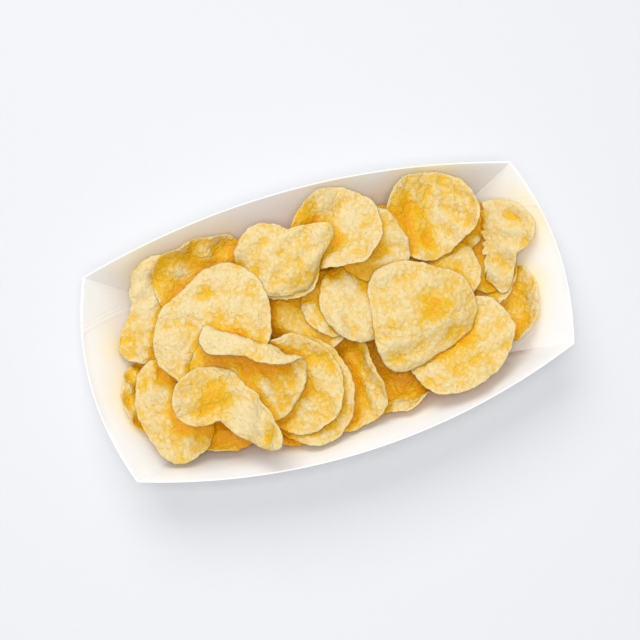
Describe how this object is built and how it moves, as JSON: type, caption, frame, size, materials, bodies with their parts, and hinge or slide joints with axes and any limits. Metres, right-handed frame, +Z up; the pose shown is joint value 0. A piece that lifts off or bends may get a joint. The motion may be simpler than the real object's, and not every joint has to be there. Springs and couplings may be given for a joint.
{
  "type": "paper tray of potato crisps",
  "caption": "Long folded paper food tray with bowed walls and glued corner folds, heaped with curled potato crisps; it stands on its flat base.",
  "frame": {"origin": "middle of the tray's flat base, on the surface that it stands on", "axes": "+X along the tray, towards the end with the broken crisp; +Y across it, towards the wall with the smaller bow; +Z up"},
  "size_m": [0.2543, 0.1445, 0.0568],
  "materials": {
    "paper_tray": "matte white paperboard",
    "potato_crisps": "fried potato, pale blisters over gold"
  },
  "bodies": {
    "root": {"tray": "paper_tray", "crisps": "potato_crisps"}
  },
  "joints": []
}
